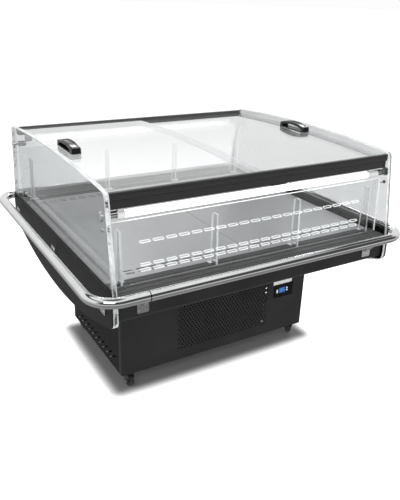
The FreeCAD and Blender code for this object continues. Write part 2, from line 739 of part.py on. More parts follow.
# ------------------------------------------------------------------ pedestal panels
def wrap_panel(sign):
    """Folded sheet: the wide face and a rounded return down each side."""
    ret = 26.0
    o = box(-PED_X, PED_X, -PED_Y, -PED_Y + ret, PED_LOW_Z, PED_TOP_Z)
    o = o.makeFillet(10.0, [e for e in o.Edges if e.BoundBox.ZLength > 100 and abs(e.BoundBox.YMin + PED_Y) < 0.01])
    i = box(-PED_X + SHEET, PED_X - SHEET, -PED_Y + SHEET, -PED_Y + ret + 1, PED_LOW_Z - 1, PED_TOP_Z + 1)
    i = i.makeFillet(8.0, [e for e in i.Edges if e.BoundBox.ZLength > 100 and abs(e.BoundBox.YMin + PED_Y - SHEET) < 0.01])
    s = o.cut(i)
    return s if sign < 0 else mirror_y(s)


CTRL_X0, CTRL_X1, CTRL_Z0, CTRL_Z1 = 292.0, 396.0, 243.0, 307.0
fp = wrap_panel(-1).cut(tub_cut)
fp = fp.cut(box(GRILLE_X0, GRILLE_X1, -PED_Y - 1, -PED_Y + SHEET + 1, GRILLE_Z0, GRILLE_Z1))
fp = fp.cut(box(CTRL_X0 + 6, CTRL_X1 - 6, -PED_Y - 1, -PED_Y + SHEET + 1, CTRL_Z0 + 6, CTRL_Z1 - 6))
save("front_panel", fp)

# perforated grille set flush in the front panel
g0, g1, h0, h1 = GRILLE_X0 + 0.5, GRILLE_X1 - 0.5, GRILLE_Z0 + 0.5, GRILLE_Z1 - 0.5
outer = rect_wire(((g0 + g1) / 2, -PED_Y, (h0 + h1) / 2), (1, 0, 0), (0, 0, 1), g1 - g0, h1 - h0)
SCREW_SPOTS = [(-188.0, 138.0), (232.0, 138.0), (-188.0, 330.0), (232.0, 330.0)]
holes = []
row = 0
z = h0 + 12.0
while z < h1 - 10.0:
    x = g0 + 9.0 + (HOLE_PX / 2.0 if row % 2 else 0.0)
    while x < g1 - 8.0:
        if all((x - sx) ** 2 + (z - sz) ** 2 > 11.0 ** 2 for sx, sz in SCREW_SPOTS):
            c = Part.Circle(V(x, -PED_Y, z), V(0, 1, 0), HOLE_R)
            holes.append(Part.Wire([c.toShape()]))
        x += HOLE_PX
    z += HOLE_PZ
    row += 1
grille = plate_with_wires(outer, holes, (0, SHEET, 0))
rimf = box(GRILLE_X0 - 8, GRILLE_X1 + 8, -PED_Y + SHEET, -PED_Y + SHEET + 1.2, GRILLE_Z0 - 8, GRILLE_Z1 + 8)
rimf = rimf.cut(box(GRILLE_X0 + 5, GRILLE_X1 - 5, -PED_Y, -PED_Y + 8, GRILLE_Z0 + 5, GRILLE_Z1 - 5))
grille = fuse([grille, rimf])
save("front_grille", grille)


def side_panel():
    ya, yb = -PED_Y + 26.5, PED_Y - 26.5
    outer = rect_wire((PED_X - SHEET, 0, (PED_LOW_Z + 436) / 2.0), (0, 1, 0), (0, 0, 1), yb - ya, 436 - PED_LOW_Z)
    hs = []
    ca, sa = math.cos(math.radians(31.0)), math.sin(math.radians(31.0))
    for i in range(10):
        y = -184.0 + i * 42.0
        hs.append(slot_wire((PED_X - SHEET, y, 106.0), (0, -ca, sa), (0, sa, ca), 102.0, 6.0))
    s = plate_with_wires(outer, hs, (SHEET, 0, 0))
    return s.cut(tub_cut)


sp = side_panel()
save("right_side_panel", sp)
save("left_side_panel", mirror_x(sp))

rp = wrap_panel(1).cut(tub_cut)
cut = []
for i in range(6):
    for j in range(13):
        cut.append(slot_cutter_x(-225 + i * 90.0, 120 + j * 17.0, 76, 7, PED_Y - SHEET - 1, PED_Y + 1))
rp = rp.cut(Part.makeCompound(cut))
rp = rp.cut(box(-402, -358, PED_Y - SHEET - 1, PED_Y + 1, 118, 142))
save("rear_panel", rp)

# screws that hold the pedestal's panels
scr = []


def screw_y(x, z, side):
    y = side * PED_Y
    s = cyl((x, y - (2.2 if side < 0 else 0), z), (0, 1, 0), 5.0, 2.2)
    shank = cyl((x, y - (0 if side < 0 else 3.2), z), (0, 1, 0), 1.6, 3.2)
    yy = y - 2.2 if side < 0 else y + 1.2
    slot = box(x - 3.4, x + 3.4, yy, yy + 1.0, z - 0.5, z + 0.5)
    slot2 = box(x - 0.5, x + 0.5, yy, yy + 1.0, z - 3.4, z + 3.4)
    return s.cut(slot).cut(slot2)


for (x, z) in SCREW_SPOTS:
    scr.append(screw_y(x, z, -1))
for (x, z) in ((-440, 100), (440, 100), (-440, 390), (440, 390), (0, 100)):
    scr.append(screw_y(x, z, 1))
save("panel_screws", Part.makeCompound(scr))

# ------------------------------------------------------------------ controller
yf = -PED_Y
bez = box(CTRL_X0, CTRL_X1, yf - 5, yf, CTRL_Z0, CTRL_Z1)
bez = bez.makeFillet(4.0, [e for e in bez.Edges if e.BoundBox.YLength > 4.9])
front_edges = [e for e in bez.Edges if abs(e.BoundBox.YMax - (yf - 5)) < 0.01 and abs(e.BoundBox.YMin - (yf - 5)) < 0.01]
try:
    b2 = bez.makeFillet(1.2, front_edges)
    if b2.isValid():
        bez = b2
except Exception:
    pass
house = box(CTRL_X0 + 7, CTRL_X1 - 7, yf, yf + 62, CTRL_Z0 + 7, CTRL_Z1 - 7)
bez = fuse([bez, house])
DISP = (315.0, 352.0, 264.0, 291.0)
bez = bez.cut(box(DISP[0], DISP[1], yf - 6, yf - 2.5, DISP[2], DISP[3]))
BUTTONS = [("button_left", 304.0, 277.0, 7.0, 17.0),
           ("button_upper", 359.5, 285.4, 8.0, 7.5),
           ("button_lower", 359.5, 274.4, 8.0, 7.5)]
for (n, x, z, w, h) in BUTTONS:
    bez = bez.cut(box(x - w / 2 - 0.4, x + w / 2 + 0.4, yf - 6, yf + 8, z - h / 2 - 0.4, z + h / 2 + 0.4))
save("controller_bezel", bez)
save("controller_display", box(DISP[0] + 0.1, DISP[1] - 0.1, yf - 4.2, yf - 2.5, DISP[2] + 0.1, DISP[3] - 0.1))
for (n, x, z, w, h) in BUTTONS:
    b = box(x - w / 2, x + w / 2, yf - 6.4, yf + 4.0, z - h / 2, z + h / 2)
    b = b.makeFillet(1.6, [e for e in b.Edges if e.BoundBox.YLength > 5])
    save(n, b)
lab = box(284.0, 388.0, yf - 1.2, yf, 308.2, 333.0)
lab = lab.makeFillet(2.0, [e for e in lab.Edges if e.BoundBox.YLength > 1.0])
save("label_plate", lab)

# ------------------------------------------------------------------ cooling machine in the pedestal
CX, CY = -285.0, 95.0
base = box(CX - 105, CX + 105, CY - 80, CY + 80, FLOOR_Z + 12, FLOOR_Z + 18)
feet = [cyl((CX + sx * 88, CY + sy * 63, FLOOR_Z), (0, 0, 1), 13, 14) for sx in (-1, 1) for sy in (-1, 1)]
m = FreeCAD.Matrix()
m.scale(1, 1, 0.38)
sph = Part.makeSphere(80)
sph_flat = sph.transformGeometry(m)
d1 = moved(sph_flat, CX, CY, FLOOR_Z + 46)
d2 = moved(sph_flat, CX, CY, FLOOR_Z + 126)
body = Part.makeCylinder(80, 80, V(CX, CY, FLOOR_Z + 46))
belt = Part.makeCylinder(84, 5, V(CX, CY, FLOOR_Z + 84))
term = box(CX + 70, CX + 108, CY - 30, CY + 30, FLOOR_Z + 60, FLOOR_Z + 118)
comp = fuse([base, body, d1, d2, belt, term] + feet)
save("compressor", comp)

# condenser: finned block behind the grille
X0, X1, Y0, Y1 = -205.0, 245.0, -266.0, -232.0
pts = [(X0, Y1), (X0, Y0)]
x = X0
pitch = 10.0
while x + pitch <= X1 + 0.01:
    pts += [(x + 1.4, Y0), (x + 1.4, Y1 - 7), (x + pitch, Y1 - 7), (x + pitch, Y0)]
    x += pitch
pts += [(X1 + 1.4, Y0), (X1 + 1.4, Y1)]
coil = poly_xy(pts, 114.0, 344.0)
bends = []
for k in range(5):
    zc = 138.0 + k * 44.0
    t = Part.makeTorus(11, 4.5, V(0, 0, 0), V(0, 1, 0), -180, 180, 180)
    bends.append((zc, t))
tubes = []
for k in range(5):
    zc = 140.0 + k * 44.0
    tubes.append(cyl((X1 + 1.4, Y1 - 14, zc), (1, 0, 0), 4.5, 8))
    tubes.append(cyl((X1 + 1.4, Y1 - 14, zc + 22), (1, 0, 0), 4.5, 8))
    tubes.append(box(X1 + 5.4, X1 + 9.4, Y1 - 17, Y1 - 11, zc, zc + 22))
coil = fuse([coil] + tubes)
save("condenser_coil", coil)

FANX, FANZ = 20.0, 229.0
sh = box(-207, 250, -232, -230, 112, 346)
sh = sh.cut(cyl((FANX, -240, FANZ), (0, 1, 0), 106, 40))
duct = ring((FANX, -230, FANZ), (0, 1, 0), 108, 106, 36)
motor = cyl((FANX, -192, FANZ), (0, 1, 0), 34, 58)
arms = []
for k in range(4):
    a = box(FANX + 30, FANX + 107, -194.5, -190.5, FANZ - 4, FANZ + 4)
    arms.append(turned(a, (FANX, 0, FANZ), (0, 1, 0), 45 + 90 * k))
feet2 = [box(-207, -205, -232, -190, 112, 346).cut(box(-210, -200, -220, -180, 130, 330)),
         box(-207, 250, -232, -200, FLOOR_Z, 112)]
sh = fuse([sh, duct, motor] + arms + feet2)
sh = sh.cut(cyl((FANX, -193, FANZ), (0, 1, 0), 4.05, 16))
save("condenser_fan_unit", sh)


def fan(centre, axis_y, r, hub_r, hub_l, n, pitch_deg, shaft):
    cx, cy, cz = centre
    parts = [cyl((cx, cy, cz), (0, 1, 0), hub_r, hub_l), cyl((cx, cy + 1, cz), (0, 1, 0), shaft[0], shaft[1])]
    for k in range(n):
        b = box(cx + hub_r - 3, cx + r, cy + hub_l / 2 - 1.0, cy + hub_l / 2 + 1.0, cz - r * 0.22, cz + r * 0.22)
        b = b.makeFillet(r * 0.12, [e for e in b.Edges if e.BoundBox.YLength > 1.5 and e.BoundBox.XLength < 0.01 and e.BoundBox.XMin > cx + r - 1])
        b = turned(b, (cx, cy + hub_l / 2, cz), (1, 0, 0), pitch_deg)
        parts.append(turned(b, (cx, cy, cz), (0, 1, 0), 360.0 / n * k))
    return fuse(parts)


save("condenser_fan_blades", fan((FANX, -222, FANZ), 1, 99, 26, 26, 5, 28, (4.0, 41.0)))

# tray that catches and dries off the defrost water
tr = box(210, 430, 20, 230, FLOOR_Z, FLOOR_Z + 58).cut(box(212, 428, 22, 228, FLOOR_Z + 2, FLOOR_Z + 60))
save("condensate_tray", tr)
dp = ring((DRAIN_HOLE[0], DRAIN_HOLE[1] + 0, FLOOR_Z + 110), (0, 0, 1), 13, 11, 452 - (FLOOR_Z + 110))
col = ring((DRAIN_HOLE[0], DRAIN_HOLE[1], TUB_BOTTOM_Z + SHELL_T + FOAM_T + LINER_T + 0.3), (0, 0, 1), 22, 11, 2.5)
dp = fuse([dp, col])
elbow = pipe([(DRAIN_HOLE[0], DRAIN_HOLE[1], FLOOR_Z + 110), (DRAIN_HOLE[0], DRAIN_HOLE[1], FLOOR_Z + 78),
              (DRAIN_HOLE[0], DRAIN_HOLE[1] + 70, FLOOR_Z + 78)], 13, 24)
dp = fuse([dp, elbow])
save("drain_pipe", dp)

# copper lines between the compressor and the evaporator
p1 = pipe([(CX + 40, CY - 20, FLOOR_Z + 148), (CX + 40, CY - 20, FLOOR_Z + 215), (PIPE_HOLE[0] + 7, CY - 20, FLOOR_Z + 215),
           (PIPE_HOLE[0] + 7, PIPE_HOLE[1], FLOOR_Z + 215), (PIPE_HOLE[0] + 7, PIPE_HOLE[1], 500),
           (-250, PIPE_HOLE[1], 500)], 5.0, 16)
p2 = pipe([(CX - 30, CY - 30, FLOOR_Z + 148), (CX - 30, CY - 30, FLOOR_Z + 180), (CX - 30, PIPE_HOLE[1], FLOOR_Z + 180),
           (PIPE_HOLE[0] - 7, PIPE_HOLE[1], FLOOR_Z + 180), (PIPE_HOLE[0] - 7, PIPE_HOLE[1], 524),
           (-250, PIPE_HOLE[1], 524)], 3.5, 10)
p1 = p1.cut(comp)
p2 = p2.cut(comp)
save("refrigerant_lines", Part.makeCompound([p1, p2]))

# ------------------------------------------------------------------ evaporator under the deck
X0, X1, Y0, Y1 = -249.0, 250.0, -150.0, 130.0
poly = [(X0, 456.0), (X0, 566.0), (X0 + 3, 566.0), (X0 + 3, 466.0)]
x = X0 + 3
while x + 12.0 <= X1 - 10:
    poly += [(x + 10.6, 466.0), (x + 10.6, 566.0), (x + 12.0, 566.0), (x + 12.0, 466.0)]
    x += 12.0
poly += [(X1 - 3, 466.0), (X1 - 3, 566.0), (X1, 566.0), (X1, 456.0)]
w = Part.makePolygon([V(px, Y0, pz) for px, pz in poly] + [V(poly[0][0], Y0, poly[0][1])])
evap = Part.Face(w).extrude(V(0, Y1 - Y0, 0))
evap = evap.removeSplitter()
# feet stand on the liner's curved floor
lin_keep = tub_block(IN_X - 1, SHELL_T + FOAM_T + LINER_T, 900.0)
legs = fuse([box(X0, X0 + 20, Y0, Y1, 400, 457), box(X1 - 20, X1, Y0, Y1, 400, 457)]).common(lin_keep)
evap = fuse([evap] + legs.Solids)
save("evaporator_coil", evap)

FPY = 170.0
fpl = box(-250, 250, FPY, FPY + 2, 440, 580).common(lin_keep)
EF = [(-130.0, 520.0), (130.0, 520.0)]
for (ex, ez) in EF:
    fpl = fpl.cut(cyl((ex, FPY - 10, ez), (0, 1, 0), 53, 30))
mots = []
for (ex, ez) in EF:
    mots.append(cyl((ex, FPY + 32, ez), (0, 1, 0), 22, 40))
    for k in range(3):
        a = box(ex + 18, ex + 57, FPY + 34, FPY + 37, ez - 3, ez + 3)
        mots.append(turned(a, (ex, 0, ez), (0, 1, 0), 90 + 120 * k))
    mots.append(ring((ex, FPY + 1, ez), (0, 1, 0), 57, 54, 37))
fpl = fuse([fpl] + mots)
for (ex, ez) in EF:
    fpl = fpl.cut(cyl((ex, FPY + 30, ez), (0, 1, 0), 2.55, 14))
save("evaporator_fan_unit", fpl)
for (nm, (ex, ez)) in (("evaporator_fan_left", EF[0]), ("evaporator_fan_right", EF[1])):
    save(nm, fan((ex, FPY + 6, ez), 1, 49, 14, 14, 5, 26, (2.5, 34.0)))

# ------------------------------------------------------------------ power inlet on the rear panel
ix, iz = -380.0, 130.0
inl = box(ix - 25, ix + 25, PED_Y, PED_Y + 3, iz - 16, iz + 16)
inl = inl.makeFillet(4.0, [e for e in inl.Edges if e.BoundBox.YLength > 2.9])
inl = fuse([inl, box(ix - 21.5, ix + 21.5, PED_Y - 26, PED_Y, iz - 11.5, iz + 11.5)])
inl = inl.cut(box(ix - 12.5, ix + 12.5, PED_Y - 15, PED_Y + 4, iz - 8.5, iz + 8.5))
pins = [box(ix + dx - 1, ix + dx + 1, PED_Y - 15.5, PED_Y - 2, iz + dz - 2.2, iz + dz + 2.2)
        for dx, dz in ((-7, -1), (7, -1), (0, 3))]
inl = fuse([inl] + pins)
save("power_inlet", inl)


# ------------------------------------------------------------------ castors
def castor(brake):
    """Local frame: swivel axis on Z through the origin, wheel behind it towards -X, axle along Y."""
    disc = cyl((0, 0, 56), (0, 0, 1), 21, 5.7)
    pin = cyl((0, 0, 61), (0, 0, 1), 5.0, 5.5)
    crown = box(-22, 13, -14.5, 14.5, 51.5, 56.5)
    arms = []
    for s in (-1, 1):
        y0, y1 = sorted((s * 11.5, s * 14.5))
        w = Part.makePolygon([V(13, y0, 56.5), V(13, y0, 50), V(-6, y0, 17), V(-TRAIL, y0, 14),
                              V(-26, y0, 17), V(-28, y0, 30), V(-32, y0, 50 if brake else 46), V(-32, y0, 58 if brake else 52),
                              V(-22, y0, 58 if brake else 56.5), V(13, y0, 56.5)])
        arms.append(Part.Face(w).extrude(V(0, y1 - y0, 0)))
    axle = cyl((-TRAIL, -17, WHEEL_R), (0, 1, 0), AXLE_R, 34)
    nuts = [cyl((-TRAIL, y0, WHEEL_R), (0, 1, 0), 6.5, 2.6) for y0 in (-17.0, 14.4)]
    parts = [disc, pin, crown, axle] + arms + nuts
    if brake:
        parts.append(cyl((-28.2, -14.5, 54.5), (0, 1, 0), 1.5, 29))
    fork = fuse(parts)
    # wheel: tread, recessed hub, running bore
    wh = cyl((-TRAIL, -WHEEL_W / 2, WHEEL_R), (0, 1, 0), WHEEL_R, WHEEL_W)
    wh = wh.makeFillet(3.0, [e for e in wh.Edges if e.BoundBox.YLength < 0.01 and e.BoundBox.XLength > 40])
    for y0 in (-WHEEL_W / 2 - 1, WHEEL_W / 2 - 1.5):
        wh = wh.cut(ring((-TRAIL, y0, WHEEL_R), (0, 1, 0), 17, 8, 2.5))
    wh = wh.cut(cyl((-TRAIL, -20, WHEEL_R), (0, 1, 0), AXLE_R + 0.05, 40))
    out = {"fork": fork, "wheel": wh}
    if brake:
        barrel = ring((-28.2, -11.0, 54.5), (0, 1, 0), 3.2, 1.56, 22)
        ped = box(-54, -30.6, -11.0, 11.0, 53.2, 55.6)
        toe = box(-57, -48, -13.5, 13.5, 53.2, 56.8)
        lever = turned(ped.fuse(toe), (-28.2, 0, 54.5), (0, 1, 0), -BRAKE_DOWN)
        out["brake"] = fuse([barrel, lever]).cut(cyl((-28.2, -12, 54.5), (0, 1, 0), 1.56, 24))
    return out


PLACES = {"front_left": (-CASTOR_X, -CASTOR_Y, 100.0, False),
          "front_right": (CASTOR_X, -CASTOR_Y, -112.0, False),
          "rear_left": (-CASTOR_X, CASTOR_Y, -90.0, True),
          "rear_right": (CASTOR_X, CASTOR_Y, -90.0, True)}
for nm, (cx, cy, deg, brake) in PLACES.items():
    c = castor(brake)
    for k, s in c.items():
        s = turned(s, (0, 0, 0), (0, 0, 1), deg)
        s = moved(s, cx, cy, 0)
        save("castor_%s_%s" % (k, nm), s)

print(len(BUILT), "nodes")
for n, c, v in BUILT:
    print("%-28s solids %2d  volume %9.1f cm3" % (n, c, v))
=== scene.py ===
import json
import math

import bmesh
import bpy
from mathutils import Matrix, Vector

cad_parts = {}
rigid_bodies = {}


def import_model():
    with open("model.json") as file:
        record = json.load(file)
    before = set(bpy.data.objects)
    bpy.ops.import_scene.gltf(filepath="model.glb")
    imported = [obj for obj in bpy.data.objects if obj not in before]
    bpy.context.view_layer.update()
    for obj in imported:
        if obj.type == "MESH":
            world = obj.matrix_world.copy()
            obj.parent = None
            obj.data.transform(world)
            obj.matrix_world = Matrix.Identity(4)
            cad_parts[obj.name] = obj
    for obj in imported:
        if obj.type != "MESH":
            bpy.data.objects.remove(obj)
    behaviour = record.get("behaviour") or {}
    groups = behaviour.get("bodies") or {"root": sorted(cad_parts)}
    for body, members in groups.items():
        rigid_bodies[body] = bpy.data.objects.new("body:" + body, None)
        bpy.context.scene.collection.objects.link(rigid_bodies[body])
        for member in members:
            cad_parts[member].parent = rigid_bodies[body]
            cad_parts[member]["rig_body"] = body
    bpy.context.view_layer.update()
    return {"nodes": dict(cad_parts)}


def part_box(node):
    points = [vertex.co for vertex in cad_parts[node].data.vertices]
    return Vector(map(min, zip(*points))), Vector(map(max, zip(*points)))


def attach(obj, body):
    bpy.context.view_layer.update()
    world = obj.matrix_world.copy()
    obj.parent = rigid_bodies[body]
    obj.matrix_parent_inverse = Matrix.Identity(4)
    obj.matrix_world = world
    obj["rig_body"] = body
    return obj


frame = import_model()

NODES = frame["nodes"]
BODY_OF = {n: o["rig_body"] for n, o in NODES.items()}
scene = bpy.context.scene


# ------------------------------------------------------------------ node helpers
class Tree:
    """Small helper that makes shader nodes and wires them."""

    def __init__(self, name):
        self.mat = bpy.data.materials.new(name)
        self.mat.use_nodes = True
        self.nt = self.mat.node_tree
        self.nt.nodes.clear()
        self.out = self.nt.nodes.new("ShaderNodeOutputMaterial")
        self._obj = None

    def node(self, kind, **props):
        n = self.nt.nodes.new(kind)
        for k, v in props.items():
            setattr(n, k, v)
        return n

    def link(self, a, b):
        self.nt.links.new(a, b)

    def put(self, socket, value):
        if hasattr(value, "links"):
            self.link(value, socket)
        else:
            socket.default_value = value

    def coords(self):
        if self._obj is None:
            self._obj = self.node("ShaderNodeTexCoord")
        return self._obj.outputs["Object"]

    def normal(self):
        self.coords()
        return self._obj.outputs["Normal"]

    def scaled(self, vec, scale):
        m = self.node("ShaderNodeMapping")
        self.link(vec, m.inputs["Vector"])
        m.inputs["Scale"].default_value = scale
        return m.outputs["Vector"]

    def sep(self, vec):
        s = self.node("ShaderNodeSeparateXYZ")
        self.link(vec, s.inputs[0])
        return s.outputs

    def noise(self, scale=10.0, detail=3.0, rough=0.5, vec=None, stretch=None, distortion=0.0):
        n = self.node("ShaderNodeTexNoise")
        v = vec if vec is not None else self.coords()
        if stretch:
            v = self.scaled(v, stretch)
        self.link(v, n.inputs["Vector"])
        n.inputs["Scale"].default_value = scale
        n.inputs["Detail"].default_value = detail
        n.inputs["Roughness"].default_value = rough
        n.inputs["Distortion"].default_value = distortion
        return n.outputs["Fac"]

    def remap(self, v, a, b, c, d, smooth=False):
        m = self.node("ShaderNodeMapRange")
        if smooth:
            m.interpolation_type = "SMOOTHSTEP"
        self.put(m.inputs["Value"], v)
        m.inputs["From Min"].default_value = a
        m.inputs["From Max"].default_value = b
        m.inputs["To Min"].default_value = c
        m.inputs["To Max"].default_value = d
        return m.outputs["Result"]

    def math(self, op, a, b=None, c=None, clamp=False):
        m = self.node("ShaderNodeMath", operation=op)
        m.use_clamp = clamp
        self.put(m.inputs[0], a)
        if b is not None:
            self.put(m.inputs[1], b)
        if c is not None:
            self.put(m.inputs[2], c)
        return m.outputs[0]

    def mix(self, fac, a, b):
        m = self.node("ShaderNodeMix", data_type="RGBA")
        self.put(m.inputs["Factor"], fac)
        for key, v in (("A", a), ("B", b)):
            s = [i for i in m.inputs if i.name == key and i.type == "RGBA"][0]
            if hasattr(v, "links"):
                self.link(v, s)
            else:
                s.default_value = (*v, 1.0) if len(v) == 3 else v
        return [o for o in m.outputs if o.type == "RGBA"][0]

    def bump(self, height, strength, distance, after=None):
        b = self.node("ShaderNodeBump")
        b.inputs["Strength"].default_value = strength
        b.inputs["Distance"].default_value = distance
        self.link(height, b.inputs["Height"])
        if after is not None:
            self.link(after, b.inputs["Normal"])
        return b.outputs["Normal"]

    def principled(self, color, metallic=0.0, rough=0.5, normal=None, **sockets):
        p = self.node("ShaderNodeBsdfPrincipled")
        if hasattr(color, "links"):
            self.link(color, p.inputs["Base Color"])
        else:
            p.inputs["Base Color"].default_value = (*color, 1.0)
        p.inputs["Metallic"].default_value = metallic
        self.put(p.inputs["Roughness"], rough)
        if normal is not None:
            self.link(normal, p.inputs["Normal"])
        for k, v in sockets.items():
            self.put(p.inputs[k.replace("_", " ")], v)
        return p.outputs[0]

    def done(self, shader):
        self.link(shader, self.out.inputs["Surface"])
        return self.mat


def grey(v):
    return (v, v, v)


# ------------------------------------------------------------------ materials
def powder_coat(name, dark, light, rough=(0.42, 0.56), peel=900.0, peel_depth=0.00025, dust=0.02, spec=0.3):
    t = Tree(name)
    big = t.noise(5.0, 4.0, 0.6)
    fine = t.noise(260.0, 2.0, 0.5)
    c = t.mix(t.remap(big, 0.35, 0.7, 0.0, 1.0), dark, light)
    c = t.mix(t.remap(fine, 0.55, 0.75, 0.0, 0.25), c, tuple(min(1.0, x * 1.7) for x in light))
    nz = t.sep(t.normal())[2]
    up = t.remap(nz, 0.75, 1.0, 0.0, 1.0, smooth=True)
    specks = t.noise(60.0, 5.0, 0.65)
    d = t.math("MULTIPLY", up, t.remap(specks, 0.4, 0.8, dust * 0.3, dust * 2.0))
    c = t.mix(d, c, (0.55, 0.55, 0.54))
    r = t.remap(big, 0.3, 0.75, rough[0], rough[1])
    n = t.bump(t.noise(peel, 2.0, 0.5), 0.30, peel_depth)
    n = t.bump(t.noise(4.0, 2.0, 0.5), 0.10, 0.002, after=n)
    return t.done(t.principled(c, 0.0, r, n, Specular_IOR_Level=spec))


def chrome(name, joint_at=None):
    t = Tree(name)
    smudge = t.noise(9.0, 5.0, 0.6)
    fine = t.noise(45.0, 4.0, 0.6, stretch=(1.0, 1.0, 1.0))
    c = t.mix(t.remap(smudge, 0.3, 0.7, 0.0, 1.0), (0.70, 0.705, 0.71), (0.78, 0.785, 0.79))
    r = t.remap(fine, 0.35, 0.75, 0.02, 0.07)
    met = 1.0
    if joint_at is not None:
        # the dark line where two lengths of tube meet, on the front run only
        x, y, z = t.sep(t.coords())
        gap = t.math("ABSOLUTE", t.math("SUBTRACT", x, joint_at))
        line = t.remap(gap, 0.0012, 0.0024, 1.0, 0.0, smooth=True)
        front = t.math("LESS_THAN", y, -0.55)
        line = t.math("MULTIPLY", line, front)
        c = t.mix(line, c, grey(0.015))
    n = t.bump(t.noise(3.0, 2.0, 0.5), 0.04, 0.002)
    n = t.bump(t.noise(160.0, 2.0, 0.5), 0.02, 0.0002, after=n)
    return t.done(t.principled(c, met, r, n))


def brushed(name, base, along="x", rough=0.30, depth=0.00015, metallic=1.0, patch=(0.9, 1.0), spec=0.5):
    t = Tree(name)
    st = {"x": (0.012, 1.0, 1.0), "y": (1.0, 0.012, 1.0), "z": (1.0, 1.0, 0.012)}[along]
    streak = t.noise(900.0, 3.0, 0.6, stretch=st)
    broad = t.noise(2.6, 4.0, 0.55)
    spots = t.noise(30.0, 4.0, 0.6)
    c = t.mix(t.remap(streak, 0.3, 0.7, 0.0, 1.0), tuple(x * 0.88 for x in base), tuple(min(1.0, x * 1.06) for x in base))
    c = t.mix(t.remap(broad, 0.35, 0.7, 0.0, 0.35), c, tuple(x * patch[0] * 0.9 for x in base))
    r = t.math("ADD", t.remap(streak, 0.3, 0.7, rough - 0.05, rough + 0.07), t.remap(spots, 0.5, 0.8, 0.0, 0.08))
    n = t.bump(streak, 0.20, depth)
    return t.done(t.principled(c, metallic, r, n, Specular_IOR_Level=spec))


def clear_acrylic(name, wall, tint=(0.958, 0.964, 0.964), edge_lo=None, edge_hi=None, rim_cover=0.5, glow=0.0,
                  body_lo=(0.80, 0.83, 0.83), body_hi=(0.95, 0.96, 0.96), grazing=0.85, right_panel_painted_shade_tint=None):
    """See-through sheet. wall is the axis that its broad faces look along (0, 1 or 2)."""
    t = Tree(name)
    nrm = t.sep(t.normal())
    flat = t.math("ABSOLUTE", nrm[wall])
    rim = t.remap(flat, 0.55, 0.75, 1.0, 0.0)
    # broad faces: a clear film with a polished reflection that grows towards grazing view
    lw = t.node("ShaderNodeLayerWeight")
    lw.inputs["Blend"].default_value = 0.5
    f5 = t.math("POWER", lw.outputs["Facing"], 4.6)
    fres = t.math("ADD", t.math("MULTIPLY", f5, grazing), 0.035, clamp=True)
    haze = t.noise(14.0, 5.0, 0.6)
    tr = t.node("ShaderNodeBsdfTransparent")
    col = t.mix(t.remap(haze, 0.3, 0.75, 0.0, 1.0), tint, tuple(x * 0.985 for x in tint))
    # painted shade: the right-hand half (x > 0) gets a darker see-through tint, though both end panels are the same
    # sheet
    if right_panel_painted_shade_tint is not None:
        side = t.math("GREATER_THAN", t.sep(t.coords())[0], 0.0)
        col = t.mix(side, col, t.mix(t.remap(haze, 0.3, 0.75, 0.0, 1.0), right_panel_painted_shade_tint, tuple(x * 0.97 for x in right_panel_painted_shade_tint)))
    t.link(col, tr.inputs["Color"])
    gl = t.node("ShaderNodeBsdfGlossy")
    gl.inputs["Color"].default_value = (0.97, 0.98, 0.98, 1.0)
    t.link(t.remap(haze, 0.35, 0.8, 0.015, 0.06), gl.inputs["Roughness"])
    face = t.node("ShaderNodeMixShader")
    t.link(fres, face.inputs[0])
    t.link(tr.outputs[0], face.inputs[1])
    t.link(gl.outputs[0], face.inputs[2])
    # sawn and polished rim: brighter and denser, with fine lines along it, and a painted glow (emission at strength
    # glow) though the sheet is no lamp
    axis = t.sep(t.coords())[wall]
    fine = t.noise(600.0, 2.0, 0.6, stretch=(1.0, 0.03, 0.03) if wall == 0 else (0.03, 1.0, 0.05))
    blotch = t.noise(46.0, 4.0, 0.7, stretch=(1.0, 0.5, 0.35) if wall == 0 else (0.5, 1.0, 1.0))
    body = t.mix(t.math("MULTIPLY", t.remap(fine, 0.3, 0.7, 0.4, 1.0), t.remap(blotch, 0.35, 0.6, 0.2, 1.0)), body_lo, body_hi)
    # painted reflection: on the end panels' clear front edge, thin dark lines at both sides, a dark band over the right
    # panel's outer half and dark spots in the middle, weaker on the right panel and on flat-lying faces
    if edge_lo is not None:
        u = t.remap(t.math("ABSOLUTE", axis), edge_lo, edge_hi, 0.0, 1.0)
        right = t.math("GREATER_THAN", axis, 0.0)
        outer = t.math("MULTIPLY", t.remap(u, 0.50, 0.66, 0.0, 1.0, smooth=True), right)
        thin = t.math("MAXIMUM", t.remap(u, 0.02, 0.10, 1.0, 0.0, smooth=True), t.remap(u, 0.90, 0.98, 0.0, 1.0, smooth=True))
        mid = t.math("MULTIPLY", t.remap(u, 0.22, 0.34, 0.0, 1.0, smooth=True), t.remap(u, 0.72, 0.86, 1.0, 0.0, smooth=True))
        spots = t.remap(t.noise(34.0, 3.0, 0.6, stretch=(0.6, 1.0, 1.0)), 0.50, 0.60, 0.0, 1.0, smooth=True)
        upright = t.remap(t.math("ABSOLUTE", nrm[2]), 0.25, 0.5, 1.0, 0.08, smooth=True)
        spots = t.math("MULTIPLY", spots, upright)
        dark = t.math("MULTIPLY", t.math("MULTIPLY", mid, spots), t.remap(right, 0.0, 1.0, 0.9, 0.25))
        line = t.math("MAXIMUM", t.math("MAXIMUM", dark, t.math("MULTIPLY", outer, 0.93)), t.math("MULTIPLY", thin, 0.45))
        body = t.mix(line, body, (0.035, 0.040, 0.040))
    # painted glow: the rim emits its own colour at strength glow
    edge_p = t.principled(body, 0.0, t.remap(blotch, 0.3, 0.7, 0.10, 0.20), Emission_Color=body, Emission_Strength=glow)
    tr2 = t.node("ShaderNodeBsdfTransparent")
    tr2.inputs["Color"].default_value = (0.86, 0.89, 0.89, 1.0)
    edge = t.node("ShaderNodeMixShader")
    edge.inputs[0].default_value = rim_cover
    t.link(tr2.outputs[0], edge.inputs[1])
    t.link(edge_p, edge.inputs[2])
    both = t.node("ShaderNodeMixShader")
    t.link(rim, both.inputs[0])
    t.link(face.outputs[0], both.inputs[1])
    t.link(edge.outputs[0], both.inputs[2])
    return t.done(both.outputs[0])


